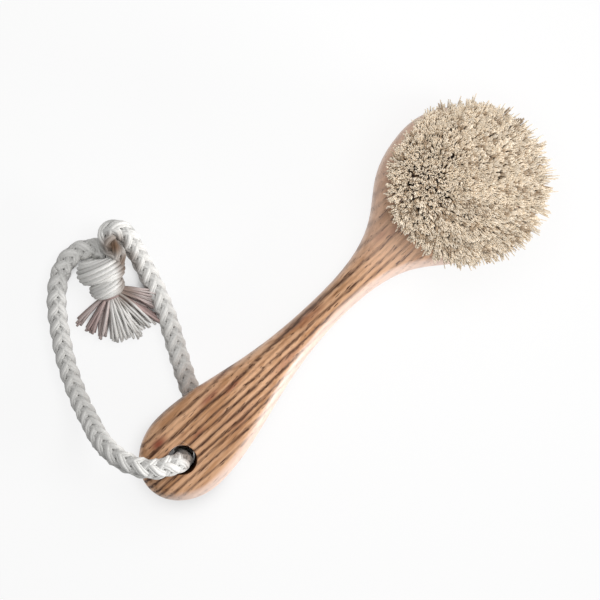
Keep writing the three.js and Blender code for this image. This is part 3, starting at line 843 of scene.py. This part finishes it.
class BRUSH_OT_stage(bpy.types.Operator):
    """Adds the camera, the pale floor and the soft light"""

    bl_idname = "brush.stage"
    bl_label = "Stage"

    def execute(self, context):
        scene = context.scene
        view = scene.brush_view
        scene.view_settings.view_transform = "Standard"
        towards = Vector(view.towards).normalized()
        along = (Vector((1, 0, 0)) - towards * towards.x).normalized()
        across = towards.cross(along)
        right = along * math.cos(view.turn) - across * math.sin(view.turn)
        up = along * math.sin(view.turn) + across * math.cos(view.turn)
        deselect()
        bpy.ops.object.camera_add(location=Vector(view.look_at) + towards * view.distance)
        camera = context.object
        camera.rotation_euler = Matrix((right, up, towards)).transposed().to_euler()
        camera.data.lens = view.lens
        camera.data.clip_start, camera.data.clip_end = CAMERA_CLIP
        scene.camera = camera
        deselect()
        bpy.ops.mesh.primitive_plane_add(size=FLOOR_WIDTH)
        floor = context.object
        floor.name = "floor"
        floor.data.materials.append(white_paper(scene.brush_colours))
        scene.world = white_studio()
        for name, place, width, power in LAMPS:
            bpy.ops.object.light_add(type="AREA", location=place)
            lamp = context.object
            lamp.name = name
            lamp.rotation_euler = (-Vector(place)).to_track_quat("-Z", "Y").to_euler()
            lamp.data.size = width
            lamp.data.energy = power
            # Only the key light is mirrored in the oiled wood
            lamp.visible_glossy = name == "key"
        return {"FINISHED"}


class BRUSH_OT_knot(bpy.types.Operator):
    """Ties both strands of the cord into a knot of two wraps"""

    bl_idname = "brush.knot"
    bl_label = "Knot"

    def execute(self, context):
        sizes, colours = context.scene.brush_cord, context.scene.brush_colours
        strands = Strands()
        for _, route, knot_route, upward in STRETCHES:
            line, end = cord_line(route, knot_route, upward)
            seed = KNOT_SEED + upward
            plait(strands, line, side_directions(line), end - 1, len(line), sizes, colours, seed)
        axis = unit(KNOT_BOTTOM - KNOT_TOP)
        for number, (share, radius, flattening, turn, bundle, twist) in enumerate(KNOT_WRAPS):
            middle = KNOT_TOP + (KNOT_BOTTOM - KNOT_TOP) * share
            facing = np.array(Matrix.Rotation(turn, 3, "Z") @ Vector(axis))
            wrap(strands, middle, facing, radius, flattening, bundle, twist, sizes, colours, number)
        core_start = mixed(KNOT_TOP, KNOT_BOTTOM, KNOT_CORE_START)
        core = even_line(np.array((core_start, KNOT_BOTTOM)), KNOT_CORE_STEP)
        # The core inside the knot is painted in shade
        core_tint = np.array(colours.cotton_soft_shade) * KNOT_CORE_LIGHT
        strands.add(core, KNOT_CORE_RADIUS, core_tint, KNOT_CORE_SIDES)
        dress(strands.make("knot", cotton_material(colours)), "cord", "cotton", "cord_knot")
        return {"FINISHED"}


def add_frayed_yarn(strands, angle, layer, length, fray_shade_share, sizes, colours, chance):
    """One bent yarn of a frayed end, at an angle from the knot's axis."""
    axis = unit((KNOT_BOTTOM - KNOT_TOP) * (1, 1, 0))
    across = np.array((-axis[1], axis[0], 0))
    ahead, aside = math.cos(angle), math.sin(angle)
    root = KNOT_BOTTOM - axis * (ROOT_BACK + ROOT_BACK_RIGHT * max(0, aside))
    root = root + across * (ROOT_ASIDE + ROOT_FAN * aside + chance.normal(0, ROOT_SPREAD))
    root = root + (0, 0, ROOT_DEPTH * (layer - 0.5))
    tip = root + (axis * ahead + across * aside) * length * chance.uniform(0.88, 1.05)
    tip[2] = TIP_LOW + TIP_DEPTH * layer + TIP_LIFT * chance.uniform(0, 1)
    knee = root + axis * KNEE_AHEAD * ahead
    knee = knee + across * (KNEE_FAN * aside + chance.normal(0, KNEE_SPREAD))
    part = np.linspace(0, 1, FRAY_POINTS)[:, None]
    yarn = (1 - part) ** 2 * root + 2 * part * (1 - part) * knee + part**2 * tip
    # Painted shade: the yarns of the shaded groups turn towards the soft shade colour
    dimmer = np.clip(fray_shade_share * chance.uniform(0.7, 1.15), 0, 1)
    tint = mixed(colours.cotton, colours.cotton_soft_shade, dimmer) * chance.uniform(0.9, 1)
    tints = shade_painted(yarn, tint, colours.cotton_painted_shade)
    strands.add(yarn, sizes.fray_radius / MM * chance.uniform(0.8, 1.2), tints, FRAY_SIDES)


class BRUSH_OT_frayed_ends(bpy.types.Operator):
    """Fans out the yarns of both cord ends below the knot"""

    bl_idname = "brush.frayed_ends"
    bl_label = "Frayed ends"

    def execute(self, context):
        sizes, colours = context.scene.brush_cord, context.scene.brush_colours
        for name, groups in FRAYS.items():
            chance = np.random.default_rng(len(name))
            strands = Strands()
            for first, last, count, length, fray_shade_share in groups:
                for number in range(count):
                    share = (number + chance.uniform(0.2, 0.8)) / count
                    angle = math.radians(first + (last - first) * share)
                    layer = (number % FRAY_LAYERS + chance.uniform(0, 0.9)) / FRAY_LAYERS
                    add_frayed_yarn(strands, angle, layer, length, fray_shade_share, sizes, colours, chance)
            dress(strands.make(f"{name}_yarns", cotton_material(colours)), "cord", "cotton", name)
        return {"FINISHED"}


class BRUSH_OT_cord(bpy.types.Operator):
    """Plaits the two stretches of the hanging cord"""

    bl_idname = "brush.cord"
    bl_label = "Hanging cord"

    def execute(self, context):
        sizes, colours = context.scene.brush_cord, context.scene.brush_colours
        for node, route, knot_route, upward in STRETCHES:
            line, end = cord_line(route, knot_route, upward)
            strands = Strands()
            plait(strands, line, side_directions(line), 0, end, sizes, colours, CORD_SEED + upward)
            piece = strands.make(f"{node}_plait", cotton_material(colours))
            dress(piece, "cord", "cotton", node)
        return {"FINISHED"}


# Handle

# Steps of the outline between two knots, of the rounded edges and of the hole's mouths
OUTLINE_STEPS, EDGE_STEPS, MOUTH_STEPS = 20, 6, 5
# Handles of a quarter circle, as a share of its radius
ROUND_SHARE = 0.5523
# Distance between slices, how far a drill runs past the wood, sides of the drills, points of the cage
# along the handle, and the angle from which an edge is sharp
SLICE = 2 * MM
DRILL_PAST = 2 * MM
CORD_HOLE_SIDES, TUFT_HOLE_SIDES = 72, 20
CAGE_POINTS = 57
SHARP_ANGLE = math.radians(38)
# Painted highlight and light: greatest share and the limits between which it grows, for faces that turn to -Y
# towards the key light, for faces that turn to +Y and how far along the handle these count, and for the head
HIGHLIGHT_RIGHT = (0.72, 0.15, 0.55)
HIGHLIGHT_LEFT = (0.14, 0.05, 0.6)
HIGHLIGHT_LEFT_PLACES = (13 * MM, 33 * MM)
PAINTED_LIGHT_HEAD = (0.18, 5 * MM, 24 * MM)


def smooth_step(value, start, end):
    """Smooth rise from 0 to 1 between two places."""
    share = min(1.0, max(0.0, (value - start) / (end - start)))
    return share * share * (3 - 2 * share)


def face_height(x, sizes):
    """Height of the handle's upper face at a distance from the tip."""
    end_top = HANDLE_HIGH.z
    to_neck = smooth_step(x, sizes.level_end, sizes.neck_place)
    to_head = smooth_step(x, sizes.neck_place, sizes.head_level)
    return end_top + (sizes.neck_top - end_top) * to_neck + (sizes.head_top - sizes.neck_top) * to_head


def back_height(x, sizes):
    """Height of the handle's back at a distance from the tip."""
    return sizes.end_rise * (1 - smooth_step(x, sizes.level_end, sizes.flat_back))


def outline_knots(sizes):
    """Upper half of the outline from tip to tip: place, and its handles before and after."""
    length = HANDLE_HIGH.x - HANDLE_LOW.x
    head = HANDLE_HIGH.y
    head_x = length - head
    angle = sizes.shoulder_angle
    half = angle / 2
    reach = head * 4 / 3 * math.tan(half / 4)
    shoulder = Vector((head_x + head * math.cos(angle), head * math.sin(angle)))
    shoulder_run = Vector((math.sin(angle), -math.cos(angle)))
    cheek = Vector((head_x + head * math.cos(half), head * math.sin(half)))
    cheek_run = Vector((math.sin(half), -math.cos(half)))
    lobe = Vector((sizes.lobe_place, sizes.lobe_half_width))
    neck = Vector((sizes.neck_place, sizes.neck_half_width))
    ahead = Vector((1, 0))
    tip_pull = Vector((0, ROUND_SHARE * sizes.lobe_half_width))
    return (
        (Vector((0, 0)), -tip_pull, tip_pull),
        (lobe, -ahead * ROUND_SHARE * sizes.lobe_place, ahead * sizes.lobe_pull),
        (neck, -ahead * sizes.neck_pull_back, ahead * sizes.neck_pull_ahead),
        (shoulder, -shoulder_run * sizes.shoulder_pull, shoulder_run * reach),
        (cheek, -cheek_run * reach, cheek_run * reach),
        (Vector((length, 0)), Vector((0, reach)), Vector((0, -reach))),
    )


def board_outline(sizes):
    """Flat board with rounded edges, from the outline as a closed curve."""
    upper = outline_knots(sizes)
    knots = list(upper)
    for place, before, after in reversed(upper[1:-1]):
        flip = Vector((1, -1))
        knots.append((place * flip, after * flip, before * flip))
    thickness = HANDLE_HIGH.z - sizes.end_rise
    deselect()
    bpy.ops.curve.primitive_bezier_circle_add(radius=sizes.lobe_half_width)
    board = bpy.context.object
    spline = board.data.splines[0]
    spline.bezier_points.add(len(knots) - len(spline.bezier_points))
    tip = Vector((HANDLE_LOW.x, 0))
    for point, (place, before, after) in zip(spline.bezier_points, knots):
        point.handle_left_type = point.handle_right_type = "FREE"
        point.co = (place + tip).to_3d()
        point.handle_left = (place + before + tip).to_3d()
        point.handle_right = (place + after + tip).to_3d()
    curve = board.data
    curve.dimensions = "2D"
    curve.fill_mode = "BOTH"
    curve.resolution_u = OUTLINE_STEPS
    curve.bevel_depth = sizes.edge_radius
    curve.bevel_resolution = EDGE_STEPS
    curve.offset = -sizes.edge_radius
    curve.extrude = thickness / 2 - sizes.edge_radius
    bpy.ops.object.convert(target="MESH")
    board = bpy.context.object
    board.name = board.data.name = "wooden_handle"
    return board


def cut_into_slices():
    """Cuts the active board's flat faces across, so that it can be swept up and down."""
    bpy.ops.object.mode_set(mode="EDIT")
    bpy.ops.mesh.select_all(action="SELECT")
    bpy.ops.mesh.remove_doubles(threshold=1e-6)
    bpy.ops.mesh.normals_make_consistent(inside=False)
    bpy.ops.mesh.dissolve_limited(angle_limit=math.radians(0.5))
    count = round((HANDLE_HIGH.x - HANDLE_LOW.x) / SLICE)
    for number in range(1, count):
        bpy.ops.mesh.select_all(action="SELECT")
        place = (HANDLE_LOW.x + number * SLICE, 0, 0)
        bpy.ops.mesh.bisect(plane_co=place, plane_no=(1, 0, 0), threshold=1e-7)
    bpy.ops.object.mode_set(mode="OBJECT")


def sweep_up(board, sizes):
    """Bends the flat board to its side profile with a lattice."""
    length = HANDLE_HIGH.x - HANDLE_LOW.x
    thickness = HANDLE_HIGH.z - sizes.end_rise
    deselect()
    bpy.ops.object.add(type="LATTICE", location=((HANDLE_LOW.x + HANDLE_HIGH.x) / 2, 0, 0))
    cage = bpy.context.object
    cage.scale = (length, 2 * HANDLE_HIGH.y, thickness)
    cage.data.points_u, cage.data.points_v, cage.data.points_w = CAGE_POINTS, 2, 2
    cage.data.interpolation_type_u = "KEY_CARDINAL"
    cage.data.interpolation_type_v = cage.data.interpolation_type_w = "KEY_LINEAR"
    for point in cage.data.points:
        x = (point.co.x + 0.5) * length
        height = face_height(x, sizes) if point.co.z > 0 else back_height(x, sizes)
        point.co_deform.z = height / thickness
    make_active(board)
    sweep = board.modifiers.new("sweep", "LATTICE")
    sweep.object = cage
    bpy.ops.object.modifier_apply(modifier=sweep.name)
    bpy.data.objects.remove(cage)


def bore(board, places, radius, bottom, top, sides):
    """Drills round holes at the given places."""
    deselect()
    drills = []
    for x, y in places:
        bpy.ops.mesh.primitive_cylinder_add(
            vertices=sides, radius=radius, depth=top - bottom, location=(x, y, (top + bottom) / 2)
        )
        drills.append(bpy.context.object)
    for drill in drills:
        drill.select_set(True)
    if len(drills) > 1:
        bpy.ops.object.join()
    drill = bpy.context.object
    make_active(board)
    cut = board.modifiers.new("bore", "BOOLEAN")
    cut.operation = "DIFFERENCE"
    cut.solver = "EXACT"
    cut.object = drill
    bpy.ops.object.modifier_apply(modifier=cut.name)
    bpy.data.objects.remove(drill)


def ease_mouths(board, centre, radius, width):
    """Rounds the sharp rims of the cord hole."""
    make_active(board)
    bpy.ops.object.mode_set(mode="EDIT")
    bpy.ops.mesh.select_mode(type="EDGE")
    bpy.ops.mesh.select_all(action="DESELECT")
    mesh = bmesh.from_edit_mesh(board.data)
    for edge in mesh.edges:
        on_rim = all(abs((v.co.xy - centre.xy).length - radius) < 1e-5 for v in edge.verts)
        level = abs(edge.verts[0].co.z - edge.verts[1].co.z) < 1e-5
        edge.select_set(on_rim and level)
    bmesh.update_edit_mesh(board.data)
    bpy.ops.mesh.bevel(
        offset=width, segments=MOUTH_STEPS, profile=0.5, affect="EDGES", clamp_overlap=False
    )
    # The flat faces end sharply at the rounding, so that they keep their own shading
    bpy.ops.mesh.select_all(action="DESELECT")
    mesh = bmesh.from_edit_mesh(board.data)
    for edge in mesh.edges:
        edge.select_set(all(abs((v.co.xy - centre.xy).length - radius - width) < 2e-5 for v in edge.verts))
    bmesh.update_edit_mesh(board.data)
    bpy.ops.mesh.mark_sharp()
    bpy.ops.object.mode_set(mode="OBJECT")


def mark_painted_highlights(board):
    """Share of painted light at each vertex: a painted highlight on the edge that faces -Y towards the key
    light, and painted light on the head, most on its other edge.
    """
    pale = board.data.attributes.new("pale", "FLOAT", "POINT")
    for vertex, share in zip(board.data.vertices, pale.data):
        x, facing = vertex.co.x, vertex.normal.y
        right = HIGHLIGHT_RIGHT[0] * smooth_step(-facing, *HIGHLIGHT_RIGHT[1:])
        left = HIGHLIGHT_LEFT[0] * smooth_step(facing, *HIGHLIGHT_LEFT[1:]) * smooth_step(x, *HIGHLIGHT_LEFT_PLACES)
        share.value = max(right, left + PAINTED_LIGHT_HEAD[0] * smooth_step(x, *PAINTED_LIGHT_HEAD[1:]))


def tuft_places(ring, pitch):
    """Places of one ring of tufts from the middle of the head, with their angles."""
    count = max(1, TUFTS_PER_STEP * ring)
    angles = [2 * math.pi * number / count for number in range(count)]
    return [(ring * pitch * math.cos(a), ring * pitch * math.sin(a), a) for a in angles]


class BRUSH_OT_handle(bpy.types.Operator):
    """Shapes the handle and head from a board, bored for the cord and the tufts"""

    bl_idname = "brush.handle"
    bl_label = "Handle"

    def execute(self, context):
        sizes = context.scene.brush_handle
        tufts = context.scene.brush_tufts
        board = board_outline(sizes)
        cut_into_slices()
        sweep_up(board, sizes)
        ends = sizes.end_rise - DRILL_PAST, HANDLE_HIGH.z + DRILL_PAST
        bore(board, [HINGE.xy], sizes.hole_radius, *ends, CORD_HOLE_SIDES)
        ease_mouths(board, HINGE, sizes.hole_radius, sizes.hole_edge)
        places = [
            (HEAD_CENTRE.x + x, HEAD_CENTRE.y + y)
            for ring in range(len(TUFT_RINGS))
            for x, y, _ in tuft_places(ring, tufts.pitch)
        ]
        ends = tufts.hole_bottom, sizes.head_top + DRILL_PAST
        bore(board, places, tufts.hole_radius, *ends, TUFT_HOLE_SIDES)
        make_active(board)
        bpy.ops.object.shade_smooth_by_angle(angle=SHARP_ANGLE)
        mark_painted_highlights(board)
        board.data.materials.clear()
        board.data.materials.append(oiled_hardwood(context.scene.brush_colours))
        # The walls of the cord hole get the wood painted dark in shade
        board.data.materials.append(bored_hardwood_in_shade(context.scene.brush_colours))
        bored = sizes.hole_radius + sizes.hole_edge / 3
        for face in board.data.polygons:
            face.material_index = int((face.center.xy - HINGE.xy).length < bored)
        dress(board, "brush", "wood", "handle")
        return {"FINISHED"}


# Hair

# Points of a hair from its root to its tip, their thickness, its sides, and how deep it starts
HAIR_LEVELS = np.array((0.0, 0.55, 1.0))
HAIR_TAPER = np.array((0.8, 1.0, 1.0))
HAIR_SIDES = 3
HAIR_DEPTH = 1.0
# How the hairs flare from the root, overlap their neighbours' tufts, and reach further towards the
# handle and its left side
FLARE = 1.25
OVERLAP = 1.05
WIDER_BACK, WIDER_LEFT = 0.06, 0.05
# Outermost hairs: share of the splay all round and by side, how far in and out they bend, and drop
SPLAY_ROUND, SPLAY_SIDE = 0.7, 0.3
BEND_IN, BEND_OUT, BEND_DROP = 0.4, 1.4, 0.6
# Spread of tufts, clumps, roots, tips, stray tips and heights, and the share and strength of brown clumps
TUFT_SPREAD, CLUMP_HEIGHT_SPREAD, HAIR_ROOT_SPREAD = 0.2, 0.7, 0.12
TIP_SPREAD, STRAY_SPREAD, HEIGHT_SPREAD = 0.25, 0.7, 0.45
BROWN_CLUMPS, BROWN = 0.12, 0.6


def add_tuft(strands, ring, place, face, sizes, colours, chance):
    """One tuft of hair, in clumps that fill a share of the ring of tips and draw in to a round root."""
    x, y, angle = place
    last = len(TUFT_RINGS) - 1
    pitch, reach = sizes.pitch / MM, sizes.tip_reach / MM
    rows = sizes.clump_rows
    centre = np.array((HEAD_CENTRE.x, HEAD_CENTRE.y, 0)) / MM
    radii = sizes.thickness / MM / 2 * HAIR_TAPER
    # Painted shade: each hair darkens from its tip to its root, for the shade deep in the tufts
    tint = mixed(colours.hair_root_shade, colours.hair, HAIR_LEVELS[:, None])
    lower = sizes.dome * (math.hypot(x, y) / (last * pitch)) ** 2
    tip_height = face + (sizes.height - lower) / MM
    drift = np.array(sizes.drift) / MM + chance.normal(0, TUFT_SPREAD, 2)
    tuft_shade = chance.uniform(0.95, 1.03)
    outward = np.array((math.cos(angle), math.sin(angle)))
    around = np.array((-outward[1], outward[0]))
    # The outermost hairs are bent outward most on the side away from the handle's left
    side = SPLAY_ROUND + SPLAY_SIDE * (outward[0] - outward[1]) / math.sqrt(2)
    most_splay = sizes.splay / MM * side if ring == last else 0
    for clump in range(rows * rows):
        u = 2 * (clump % rows + chance.uniform(0, 1)) / rows - 1
        v = 2 * (clump // rows + chance.uniform(0, 1)) / rows - 1
        round_u, round_v = u * math.sqrt(1 - v * v / 2), v * math.sqrt(1 - u * u / 2)
        clump_root = (around * round_u + outward * round_v) * sizes.root_radius / MM + (x, y)
        splay = most_splay * max(0, v) ** 2
        if ring:
            turn = angle + OVERLAP * u * math.pi / (TUFTS_PER_STEP * ring)
            way = np.array((math.cos(turn), math.sin(turn)))
            wider = 1 + WIDER_BACK * max(0, -way[0]) + WIDER_LEFT * max(0, way[1])
            clump_tip = drift + (ring * pitch * sizes.lean * wider + v * reach) * way
        else:
            way = np.zeros(2)
            clump_tip = drift + reach * np.array((round_u, round_v))
        clump_height = tip_height + chance.normal(0, CLUMP_HEIGHT_SPREAD)
        brown = BROWN if chance.uniform() < BROWN_CLUMPS else 0
        clump_tint = mixed(tint, colours.hair_brown, brown) * tuft_shade * chance.uniform(0.84, 1.05)
        for hair in range(sizes.hairs):
            bend = splay * (BEND_OUT * chance.uniform(0, 1) ** 2 - BEND_IN)
            root = clump_root + chance.normal(0, HAIR_ROOT_SPREAD, 2)
            tip = clump_tip + way * bend + chance.normal(0, TIP_SPREAD if hair else STRAY_SPREAD, 2)
            height = clump_height - abs(chance.normal(0, HEIGHT_SPREAD)) - BEND_DROP * abs(bend)
            flat = root + (tip - root) * (HAIR_LEVELS**FLARE)[:, None]
            low = face - HAIR_DEPTH
            line = centre + np.column_stack((flat, low + (height - low) * HAIR_LEVELS))
            strands.add(line, radii, clump_tint * chance.uniform(0.92, 1), HAIR_SIDES)


class BRUSH_OT_tufts(bpy.types.Operator):
    """Sets the tufts of hair in the head, one piece for each ring"""

    bl_idname = "brush.tufts"
    bl_label = "Hair tufts"

    def execute(self, context):
        sizes, colours = context.scene.brush_tufts, context.scene.brush_colours
        face = context.scene.brush_handle.head_top / MM
        material = natural_hair(colours)
        for ring, node in enumerate(TUFT_RINGS):
            chance = np.random.default_rng(HAIR_SEED + ring)
            strands = Strands()
            for place in tuft_places(ring, sizes.pitch / MM):
                add_tuft(strands, ring, place, face, sizes, colours, chance)
            dress(strands.make(node.replace("tufts", "hair"), material), "brush", "hair", node)
        return {"FINISHED"}


class BRUSH_OT_anchors(bpy.types.Operator):
    """Gives the tufts' anchors their steel"""

    bl_idname = "brush.anchors"
    bl_label = "Anchors"

    def execute(self, context):
        material = galvanised_steel(context.scene.brush_colours)
        for name in ANCHORS:
            mesh = bpy.data.objects[name].data
            mesh.materials.clear()
            mesh.materials.append(material)
        return {"FINISHED"}


class BRUSH_PT_panel(bpy.types.Panel):
    """Sizes, colours and steps of the brush"""

    bl_idname = "BRUSH_PT_panel"
    bl_label = "Facial brush"
    bl_space_type = "VIEW_3D"
    bl_region_type = "UI"
    bl_category = "Brush"

    def draw(self, context):
        column = self.layout.column()
        for operator in OPERATORS:
            column.operator(operator.bl_idname)
        for name in PROPERTY_GROUPS:
            group = getattr(context.scene, name)
            box = self.layout.box()
            for key in group.bl_rna.properties.keys():
                if key not in {"rna_type", "name"}:
                    box.prop(group, key)


PROPERTY_GROUPS = {
    "brush_handle": BrushHandleSizes,
    "brush_tufts": BrushTuftSizes,
    "brush_cord": BrushCordSizes,
    "brush_colours": BrushColours,
    "brush_view": BrushView,
}
OPERATORS = (
    BRUSH_OT_stage,
    BRUSH_OT_knot,
    BRUSH_OT_frayed_ends,
    BRUSH_OT_cord,
    BRUSH_OT_handle,
    BRUSH_OT_tufts,
    BRUSH_OT_anchors,
)


def register():
    for name, group in PROPERTY_GROUPS.items():
        bpy.utils.register_class(group)
        setattr(bpy.types.Scene, name, PointerProperty(type=group))
    for cls in (*OPERATORS, BRUSH_PT_panel):
        bpy.utils.register_class(cls)


def unregister():
    for cls in reversed((*OPERATORS, BRUSH_PT_panel)):
        bpy.utils.unregister_class(cls)
    for name, group in PROPERTY_GROUPS.items():
        delattr(bpy.types.Scene, name)
        bpy.utils.unregister_class(group)


def main():
    register()
    bpy.ops.brush.stage()
    bpy.ops.brush.knot()
    bpy.ops.brush.frayed_ends()
    bpy.ops.brush.cord()
    bpy.ops.brush.handle()
    bpy.ops.brush.tufts()
    bpy.ops.brush.anchors()
    deselect()


if __name__ == "__main__":
    main()
